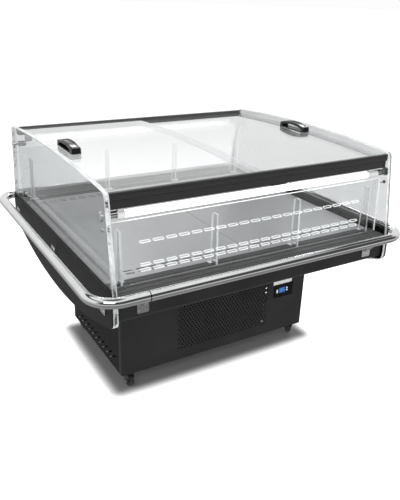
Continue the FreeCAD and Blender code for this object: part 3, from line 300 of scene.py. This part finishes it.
def moulded(name, dark, light, rough=(0.35, 0.5), grain=420.0, depth=0.0003, strength=0.25, spec=0.5):
    t = Tree(name)
    big = t.noise(12.0, 4.0, 0.6)
    g = t.noise(grain, 3.0, 0.55)
    c = t.mix(t.remap(big, 0.3, 0.7, 0.0, 1.0), dark, light)
    c = t.mix(t.remap(g, 0.5, 0.8, 0.0, 0.3), c, tuple(min(1.0, x * 1.25 + 0.004) for x in light))
    r = t.remap(big, 0.3, 0.7, rough[0], rough[1])
    return t.done(t.principled(c, 0.0, r, t.bump(g, strength, depth), Specular_IOR_Level=spec))


def lamp_material(name):
    """Opal tube: glows evenly, a little less at its caps."""
    t = Tree(name)
    x = t.sep(t.coords())[0]
    ends = t.remap(t.math("ABSOLUTE", t.math("ADD", x, 0.014)), 0.47, 0.534, 1.0, 0.72, smooth=True)
    ripple = t.remap(t.noise(30.0, 2.0, 0.5), 0.3, 0.7, 0.97, 1.0)
    c = t.mix(ripple, (0.90, 0.93, 0.97), (1.0, 1.0, 1.0))
    p = t.node("ShaderNodeBsdfPrincipled")
    t.link(c, p.inputs["Base Color"])
    t.link(t.remap(t.noise(80.0, 2.0, 0.5), 0.3, 0.7, 0.25, 0.35), p.inputs["Roughness"])
    t.link(c, p.inputs["Emission Color"])
    t.link(t.math("MULTIPLY", ends, 1.6), p.inputs["Emission Strength"])
    return t.done(p.outputs[0])


def display_material(name):
    t = Tree(name)
    x, y, z = t.sep(t.coords())
    glow = t.noise(90.0, 2.0, 0.5)
    c = t.mix(t.remap(glow, 0.3, 0.7, 0.0, 1.0), (0.015, 0.10, 0.40), (0.025, 0.16, 0.55))
    p = t.node("ShaderNodeBsdfPrincipled")
    t.link(t.mix(0.5, c, (0.02, 0.05, 0.15)), p.inputs["Base Color"])
    t.link(t.remap(glow, 0.3, 0.7, 0.10, 0.16), p.inputs["Roughness"])
    t.link(c, p.inputs["Emission Color"])
    p.inputs["Emission Strength"].default_value = 0.30
    return t.done(p.outputs[0])


def foam_material(name):
    t = Tree(name)
    cells = t.node("ShaderNodeTexVoronoi")
    t.link(t.coords(), cells.inputs["Vector"])
    cells.inputs["Scale"].default_value = 420.0
    c = t.mix(t.remap(cells.outputs["Distance"], 0.0, 0.7, 0.0, 1.0), (0.74, 0.66, 0.44), (0.84, 0.78, 0.58))
    return t.done(t.principled(c, 0.0, t.remap(t.noise(30.0), 0.3, 0.7, 0.8, 0.95), t.bump(cells.outputs["Distance"], 0.5, 0.0006)))


def coil_material(name, pitch, lo=(0.52, 0.53, 0.54), hi=(0.74, 0.75, 0.76), metallic=0.9, bends=None):
    """Aluminium plate fins: fine lines between the deep ribs, a fixed grey that is painted shade in the gaps of light
    fins.
    """
    t = Tree(name)
    x = t.sep(t.coords())[0]
    fins = t.math("PINGPONG", t.math("MULTIPLY", x, 1.0), pitch)
    lines = t.remap(fins, 0.0, pitch, 0.0, 1.0)
    dents = t.noise(22.0, 5.0, 0.6)
    c = t.mix(t.remap(dents, 0.35, 0.7, 0.0, 1.0), lo, hi)
    # painted shade: a fixed grey line at each fin gap darkens light fins; on near-black fins the same grey shows as
    # lighter lines
    c = t.mix(t.remap(lines, 0.0, 0.35, 0.6, 0.0), c, (0.12, 0.12, 0.12))
    n = t.bump(lines, 0.5, 0.0006)
    n = t.bump(dents, 0.3, 0.001, after=n)
    if bends is not None:
        bx, bz, rx, rz = bends
        z = t.sep(t.coords())[2]
        gx = t.math("DIVIDE", t.math("SUBTRACT", x, bx), rx)
        gz = t.math("DIVIDE", t.math("SUBTRACT", z, bz), rz)
        g = t.math("ADD", t.math("MULTIPLY", gx, gx), t.math("MULTIPLY", gz, gz))
        c = t.mix(t.remap(g, 0.7, 1.0, 1.0, 0.0, smooth=True), c, (0.80, 0.80, 0.80))
    return t.done(t.principled(c, metallic, t.remap(dents, 0.3, 0.7, 0.28, 0.45), n, Specular_IOR_Level=0.2))


BLACK = powder_coat("powder_black", grey(0.016), grey(0.023), spec=0.25)
# painted shade: the pedestal's side panels get a darker, less shiny copy of the black powder coat on its front
SIDE_BLACK_PAINTED_SHADE = powder_coat("powder_black_side_painted_shade", grey(0.006), grey(0.009), spec=0.09)
TUB_BLACK = powder_coat("powder_black_tub", grey(0.014), grey(0.020), rough=(0.36, 0.48), spec=0.24)
PLATE_BLACK = powder_coat("powder_black_ends", grey(0.008), grey(0.013), rough=(0.42, 0.54), spec=0.16)
LEDGE = brushed("ledge_black", (0.048, 0.048, 0.049), "x", rough=0.34, metallic=0.0, depth=0.00006, spec=0.30)
RAIL = brushed("rail_black", (0.020, 0.020, 0.0205), "x", rough=0.30, metallic=0.0, spec=0.34)
# painted reflection: the rear rail is the same black extrusion as the front rail, given a lighter grey and more shine
# to stand in for the lids' reflection over it
REAR_RAIL_PAINTED_REFLECTION = brushed("rail_black_rear_painted_reflection", (0.085, 0.085, 0.087), "x", rough=0.36, metallic=0.0, spec=0.5)
CHROME = chrome("chrome_fittings")
BUMPER = chrome("chrome_bumper", joint_at=-0.510)
STEEL = brushed("stainless_deck", (0.49, 0.493, 0.497), "x", rough=0.36, metallic=0.85)
LINER = brushed("stainless_liner", (0.56, 0.565, 0.57), "y", rough=0.38, metallic=0.9)
ZINC = brushed("zinc_sheet", (0.50, 0.505, 0.51), "x", rough=0.42)
SCREW = brushed("screw_steel", (0.42, 0.42, 0.43), "x", rough=0.30)
HANDLE = moulded("handle_black", grey(0.008), grey(0.014), rough=(0.12, 0.20), grain=600.0, depth=0.0001, strength=0.1)
PLASTIC = moulded("plastic_black", grey(0.008), grey(0.014), rough=(0.26, 0.38), spec=0.3)
BEZEL = moulded("bezel_black", grey(0.003), grey(0.005), rough=(0.20, 0.28), spec=0.2)
CASTOR = moulded("castor_black", grey(0.012), grey(0.020), rough=(0.28, 0.40))
TREAD = moulded("castor_tread", grey(0.014), grey(0.024), rough=(0.35, 0.55), grain=260.0, depth=0.0004)
WHITE = moulded("plastic_white", grey(0.70), grey(0.78), rough=(0.28, 0.36), grain=500.0, depth=0.0001)
LIGHT = moulded("plastic_grey", grey(0.62), grey(0.72), rough=(0.28, 0.40), grain=500.0, depth=0.0001)
LABEL = moulded("label_bare", grey(0.62), grey(0.68), rough=(0.30, 0.40), grain=300.0, depth=0.00005)
def screw_material(name):
    """Blackened heads, with a light metal grey on the one at the grille's lower right corner."""
    t = Tree(name)
    x, y, z = t.sep(t.coords())
    dx = t.math("SUBTRACT", x, 0.224)
    dz = t.math("SUBTRACT", z, 0.140)
    d = t.math("ADD", t.math("MULTIPLY", dx, dx), t.math("MULTIPLY", dz, dz))
    near = t.math("MULTIPLY", t.math("LESS_THAN", d, 0.0009), t.math("LESS_THAN", y, 0.0))
    wear = t.noise(300.0, 3.0, 0.6)
    dark = t.mix(t.remap(wear, 0.35, 0.7, 0.0, 1.0), grey(0.012), grey(0.03))
    c = t.mix(near, dark, (0.42, 0.42, 0.43))
    r = t.remap(wear, 0.3, 0.7, 0.30, 0.42)
    return t.done(t.principled(c, 0.6, r, t.bump(wear, 0.2, 0.0002)))


PANEL_SCREW = screw_material("screw_black")
FAN = moulded("fan_plastic", grey(0.020), grey(0.032), rough=(0.30, 0.45))
TRAY = moulded("tray_plastic", grey(0.12), grey(0.17), rough=(0.45, 0.60))
ENAMEL = powder_coat("enamel_black", grey(0.014), grey(0.020), rough=(0.14, 0.22), peel=200.0)
COPPER = brushed("copper_line", (0.72, 0.36, 0.20), "z", rough=0.28)
FOAM = foam_material("foam_yellow")
COND = coil_material("condenser_fins", 0.0012, lo=grey(0.008), hi=grey(0.014), metallic=0.0)
EVAP = coil_material("evaporator_fins", 0.0020)
LAMP = lamp_material("lamp_opal")
DISPLAY = display_material("display_blue")
PANEL = clear_acrylic("acrylic_panel", 0, tint=(0.79, 0.80, 0.802), edge_lo=0.605, edge_hi=0.625, rim_cover=0.70,
                      glow=0.12, body_lo=(0.42, 0.45, 0.45), body_hi=(0.97, 0.98, 0.98), right_panel_painted_shade_tint=(0.73, 0.736, 0.738))
PANE = clear_acrylic("acrylic_pane", 1, tint=(0.950, 0.955, 0.956), rim_cover=0.75, glow=0.35,
                     body_lo=(0.88, 0.90, 0.90), body_hi=(1.0, 1.0, 1.0))
FIN = clear_acrylic("acrylic_fin", 0, tint=(0.950, 0.955, 0.956), rim_cover=0.60, glow=0.20,
                    body_lo=(0.88, 0.90, 0.90), body_hi=(1.0, 1.0, 1.0))
LID = clear_acrylic("acrylic_lid", 2, tint=(0.965, 0.968, 0.970), rim_cover=0.55, glow=0.10, grazing=1.45)

BY_NODE = {
    "end_panel_left": PANEL, "end_panel_right": PANEL, "end_plate_left": PLATE_BLACK, "end_plate_right": PLATE_BLACK,
    "tub_shell": TUB_BLACK, "tub_insulation": FOAM, "inner_liner": LINER, "front_ledge": LEDGE, "rear_ledge": LEDGE,
    "deck_tray_left": STEEL, "deck_tray_right": STEEL, "front_rail": RAIL, "back_rail": REAR_RAIL_PAINTED_REFLECTION,
    "lid_left": LID, "lid_right": LID, "lid_handle_left": HANDLE, "lid_handle_right": HANDLE,
    "front_pane": PANE, "rear_pane": PANE, "pane_fins": FIN, "lamp_tubes": LAMP, "lamp_holders": LIGHT,
    "panel_fixings": CHROME, "bumper_tube": BUMPER, "bumper_brackets": CHROME, "base_frame": ZINC,
    "front_panel": BLACK, "front_grille": BLACK, "left_side_panel": SIDE_BLACK_PAINTED_SHADE, "right_side_panel": SIDE_BLACK_PAINTED_SHADE,
    "rear_panel": BLACK, "panel_screws": PANEL_SCREW, "controller_bezel": BEZEL, "controller_display": DISPLAY,
    "button_left": WHITE, "button_upper": WHITE, "button_lower": WHITE, "label_plate": LABEL,
    "compressor": ENAMEL, "condenser_coil": COND, "condenser_fan_unit": ZINC, "condenser_fan_blades": FAN,
    "condensate_tray": TRAY, "drain_pipe": TRAY, "refrigerant_lines": COPPER, "evaporator_coil": EVAP,
    "evaporator_fan_unit": ZINC, "evaporator_fan_left": FAN, "evaporator_fan_right": FAN, "power_inlet": PLASTIC,
}
for n, o in NODES.items():
    if n in BY_NODE:
        m = BY_NODE[n]
    elif n.startswith("castor_wheel"):
        m = TREAD
    else:
        m = CASTOR
    if not o.material_slots:
        o.data.materials.append(m)
    for s in o.material_slots:
        s.material = m


# ------------------------------------------------------------------ detail pieces
def mesh_object(name, bm, mat, body, smooth=True):
    me = bpy.data.meshes.new(name)
    bm.normal_update()
    bm.to_mesh(me)
    bm.free()
    me.materials.append(mat)
    for p in me.polygons:
        p.use_smooth = smooth
    o = bpy.data.objects.new(name, me)
    scene.collection.objects.link(o)
    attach(o, body)
    return o


def tube_along(bm, pts, r, sides=10):
    """Adds a capped tube through the points."""
    rings = []
    for i, p in enumerate(pts):
        a = pts[max(0, i - 1)]
        b = pts[min(len(pts) - 1, i + 1)]
        d = (b - a).normalized()
        u = d.cross(Vector((0, 0, 1)))
        if u.length < 1e-4:
            u = d.cross(Vector((0, 1, 0)))
        u.normalize()
        v = d.cross(u)
        rings.append([bm.verts.new(p + (u * math.cos(2 * math.pi * k / sides) + v * math.sin(2 * math.pi * k / sides)) * r)
                      for k in range(sides)])
    for a, b in zip(rings[:-1], rings[1:]):
        for k in range(sides):
            bm.faces.new((a[k], a[(k + 1) % sides], b[(k + 1) % sides], b[k]))
    bm.faces.new(rings[0])
    bm.faces.new(list(reversed(rings[-1])))


# lit segments on the little display: two plain digits
def segments(digit):
    return {"3": "abcdg", "5": "acdfg", "4": "bcfg", "2": "abdeg", "0": "abcdef"}[digit]


def digit_mesh(bm, x, z, w, h, which, y):
    t = w * 0.16
    seg = {
        "a": ((x, z + h), (x + w, z + h)), "g": ((x, z + h / 2), (x + w, z + h / 2)), "d": ((x, z), (x + w, z)),
        "f": ((x, z + h / 2), (x, z + h)), "b": ((x + w, z + h / 2), (x + w, z + h)),
        "e": ((x, z), (x, z + h / 2)), "c": ((x + w, z), (x + w, z + h / 2)),
    }
    for s in segments(which):
        (x0, z0), (x1, z1) = seg[s]
        if z0 == z1:
            p = [(x0 + t * 0.8, z0), (x0 + t * 1.4, z0 + t * 0.6), (x1 - t * 1.4, z0 + t * 0.6), (x1 - t * 0.8, z0),
                 (x1 - t * 1.4, z0 - t * 0.6), (x0 + t * 1.4, z0 - t * 0.6)]
        else:
            p = [(x0, z0 + t * 0.8), (x0 - t * 0.6, z0 + t * 1.4), (x0 - t * 0.6, z1 - t * 1.4), (x0, z1 - t * 0.8),
                 (x0 + t * 0.6, z1 - t * 1.4), (x0 + t * 0.6, z0 + t * 1.4)]
        bm.faces.new([bm.verts.new((a, y, b)) for a, b in p])


t = Tree("display_digits")
p = t.node("ShaderNodeBsdfPrincipled")
g = t.noise(400.0, 1.0, 0.5)
cc = t.mix(t.remap(g, 0.3, 0.7, 0.0, 1.0), (0.10, 0.35, 0.75), (0.16, 0.45, 0.85))
t.link(cc, p.inputs["Base Color"])
t.link(cc, p.inputs["Emission Color"])
p.inputs["Emission Strength"].default_value = 0.35
p.inputs["Roughness"].default_value = 0.3
DIGITS = t.done(p.outputs[0])
lo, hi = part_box("controller_display")
bm = bmesh.new()
w = (hi.x - lo.x) * 0.20
h = (hi.z - lo.z) * 0.48
z0 = lo.z + (hi.z - lo.z) * 0.28
digit_mesh(bm, lo.x + (hi.x - lo.x) * 0.26, z0, w, h, "0", lo.y - 0.0002)
digit_mesh(bm, lo.x + (hi.x - lo.x) * 0.56, z0, w, h, "4", lo.y - 0.0002)
mesh_object("display_digits", bm, DIGITS, "cabinet", smooth=False)


# bright caps on the axle nuts of the castors
for nm, cx, cy, deg in (("front_left", -0.431, -0.248, 100.0), ("front_right", 0.431, -0.248, -112.0),
                        ("rear_left", -0.431, 0.248, -90.0), ("rear_right", 0.431, 0.248, -90.0)):
    a = math.radians(deg)
    mid = Vector((cx - 0.016 * math.cos(a), cy - 0.016 * math.sin(a), 0.025))
    ax = Vector((-math.sin(a), math.cos(a), 0.0))
    bm = bmesh.new()
    for sgn in (-1.0, 1.0):
        tube_along(bm, [mid + ax * sgn * 0.0166, mid + ax * sgn * 0.0176], 0.0052, 18)
        tube_along(bm, [mid + ax * sgn * 0.0170, mid + ax * sgn * 0.0190], 0.0030, 14)
    bmesh.ops.recalc_face_normals(bm, faces=bm.faces)
    mesh_object("hub_caps_" + nm, bm, SCREW, BODY_OF["castor_fork_" + nm], smooth=False)


# ------------------------------------------------------------------ stage: floor, light, camera
def floor_with_painted_shadow():
    """Pale sheet that glows a little, with painted light and shadow: dark and unlit under the pedestal, glowing most
    close to the cabinet.
    """
    t = Tree("floor_pale_painted_shadow")
    x, y, z = t.sep(t.coords())
    dx = t.math("MAXIMUM", t.math("SUBTRACT", t.math("ABSOLUTE", x), 0.470), 0.0)
    dy = t.math("MAXIMUM", t.math("SUBTRACT", t.math("ABSOLUTE", y), 0.275), 0.0)
    d = t.math("SQRT", t.math("ADD", t.math("MULTIPLY", dx, dx), t.math("MULTIPLY", dy, dy)))
    m = t.remap(d, 0.0, 0.075, 0.0, 1.0, smooth=True)
    n1 = t.noise(1.2, 4.0, 0.5)
    c = t.mix(t.remap(n1, 0.3, 0.7, 0.0, 1.0), grey(0.90), grey(0.915))
    # painted shadow: dark base colour 0.24 under the pedestal footprint, blending out to the pale floor within 75 mm of
    # its edge
    c = t.mix(m, grey(0.24), c)
    # painted light: the floor's glow is strongest close to the cabinet, fades with distance and is zero under the
    # pedestal
    near = t.remap(d, 0.10, 1.8, 0.80, 0.20, smooth=True)
    p = t.node("ShaderNodeBsdfPrincipled")
    t.link(c, p.inputs["Base Color"])
    p.inputs["Roughness"].default_value = 0.8
    p.inputs["Specular IOR Level"].default_value = 0.1
    t.link(c, p.inputs["Emission Color"])
    t.link(t.math("MULTIPLY", m, near), p.inputs["Emission Strength"])
    return t.done(p.outputs[0])


bm = bmesh.new()
bmesh.ops.create_grid(bm, x_segments=8, y_segments=8, size=200.0)
me = bpy.data.meshes.new("floor")
bm.to_mesh(me)
bm.free()
me.materials.append(floor_with_painted_shadow())
floor = bpy.data.objects.new("floor", me)
scene.collection.objects.link(floor)
floor.visible_glossy = False

world = bpy.data.worlds.new("studio")
scene.world = world
world.use_nodes = True
wt = world.node_tree
wt.nodes.clear()
wo = wt.nodes.new("ShaderNodeOutputWorld")
tc = wt.nodes.new("ShaderNodeTexCoord")
sx = wt.nodes.new("ShaderNodeSeparateXYZ")
wt.links.new(tc.outputs["Generated"], sx.inputs[0])


def math_node(op, a, b):
    m = wt.nodes.new("ShaderNodeMath")
    m.operation = op
    wt.links.new(a, m.inputs[0])
    m.inputs[1].default_value = b
    return m.outputs[0]


# height of the direction, -1 straight down, 0 level, +1 straight up, stored as 0 to 1
level = math_node("MULTIPLY_ADD", sx.outputs[2], 0.5)
level.node.inputs[2].default_value = 0.5
front = wt.nodes.new("ShaderNodeMapRange")
front.interpolation_type = "SMOOTHSTEP"
wt.links.new(sx.outputs[1], front.inputs["Value"])
front.inputs["From Min"].default_value = -0.10
front.inputs["From Max"].default_value = -0.50


def band(stops):
    r = wt.nodes.new("ShaderNodeValToRGB")
    wt.links.new(level, r.inputs[0])
    el = r.color_ramp.elements
    el[0].position, el[0].color = stops[0][0], (*grey(stops[0][1]), 1)
    el[1].position, el[1].color = stops[-1][0], (*grey(stops[-1][1]), 1)
    for pos, v in stops[1:-1]:
        e = el.new(pos)
        e.color = (*grey(v), 1)
    return r.outputs[0]


def sky(stops):
    return band([((z + 1.0) / 2.0, v) for z, v in stops])


even = sky([(-1.0, 0.98), (0.0, 0.98), (0.25, 0.92), (0.55, 0.93), (1.0, 1.0)])
behind = sky([(-1.0, 0.30), (-0.35, 0.38), (-0.04, 0.80), (0.02, 0.92), (0.50, 0.97), (0.60, 0.85), (0.66, 0.07), (0.74, 0.07),
              (0.79, 1.0), (0.93, 1.0), (0.97, 0.15), (1.0, 0.15)])
before = sky([(-1.0, 0.30), (-0.45, 0.20), (-0.28, 0.75), (-0.14, 0.70), (-0.04, 0.10), (0.45, 0.07), (0.60, 0.08), (0.70, 1.0),
              (0.88, 1.0), (0.93, 0.15), (1.0, 0.15)])
studio_mix = wt.nodes.new("ShaderNodeMix")
studio_mix.data_type = "RGBA"
wt.links.new(front.outputs["Result"], studio_mix.inputs["Factor"])
wt.links.new(behind, [i for i in studio_mix.inputs if i.name == "A" and i.type == "RGBA"][0])
wt.links.new(before, [i for i in studio_mix.inputs if i.name == "B" and i.type == "RGBA"][0])
studio = [o for o in studio_mix.outputs if o.type == "RGBA"][0]
lp = wt.nodes.new("ShaderNodeLightPath")
b1 = wt.nodes.new("ShaderNodeBackground")
wt.links.new(even, b1.inputs[0])
b1.inputs[1].default_value = 1.0
b2 = wt.nodes.new("ShaderNodeBackground")
wt.links.new(studio, b2.inputs[0])
b2.inputs[1].default_value = 1.0
mx = wt.nodes.new("ShaderNodeMixShader")
wt.links.new(lp.outputs["Is Glossy Ray"], mx.inputs[0])
wt.links.new(b1.outputs[0], mx.inputs[1])
wt.links.new(b2.outputs[0], mx.inputs[2])
wt.links.new(mx.outputs[0], wo.inputs[0])


def area(name, loc, target, size, power, color=(1, 1, 1), seen=False):
    li = bpy.data.lights.new(name, "AREA")
    li.shape = "RECTANGLE"
    li.size, li.size_y = size
    li.energy = power
    li.color = color
    o = bpy.data.objects.new(name, li)
    scene.collection.objects.link(o)
    o.location = loc
    d = Vector(target) - Vector(loc)
    o.rotation_euler = d.to_track_quat("-Z", "Y").to_euler()
    o.visible_glossy = seen
    return o


area("key", (-2.6, -3.4, 3.4), (0, 0, 0.5), (2.6, 2.6), 45, seen=True)
area("top", (0.2, 0.4, 4.2), (0, 0, 0.6), (4.5, 4.5), 80)
area("back", (1.5, 4.5, 3.2), (0, 0, 0.6), (4.0, 2.5), 40)
area("spark_left", (0.88, 3.34, 3.55), (-0.54, -0.06, 0.98), (0.6, 0.6), 11, seen=True)
area("spark_right", (3.42, 2.71, 3.07), (0.56, -0.06, 0.97), (0.6, 0.6), 11, seen=True)

# camera
C = Vector((-1.249387, -2.130673, 1.498223))
YAW, PITCH, ROLL = 0.549044, 0.406685, 0.0336246
F_PX, CX_PX, CY_PX = 582.159, 199.114, 249.613
W_PX, H_PX = 400.0, 500.0
fwd = Vector((math.sin(YAW) * math.cos(PITCH), math.cos(YAW) * math.cos(PITCH), -math.sin(PITCH)))
right = Vector((math.cos(YAW), -math.sin(YAW), 0.0))
up = right.cross(fwd)
r2 = right * math.cos(ROLL) + up * math.sin(ROLL)
u2 = -right * math.sin(ROLL) + up * math.cos(ROLL)
cam = bpy.data.cameras.new("camera")
cam.sensor_fit = "VERTICAL"
cam.sensor_height = 24.0
cam.lens = 24.0 * F_PX / H_PX
cam.shift_x = (W_PX / 2 - CX_PX) / H_PX
cam.shift_y = (CY_PX - H_PX / 2) / H_PX
cam.clip_start = 0.05
cam.clip_end = 200.0
co = bpy.data.objects.new("camera", cam)
scene.collection.objects.link(co)
co.matrix_world = Matrix(((r2.x, u2.x, -fwd.x, C.x), (r2.y, u2.y, -fwd.y, C.y), (r2.z, u2.z, -fwd.z, C.z), (0, 0, 0, 1)))
scene.camera = co
scene.view_settings.view_transform = "Standard"
scene.view_settings.look = "None"
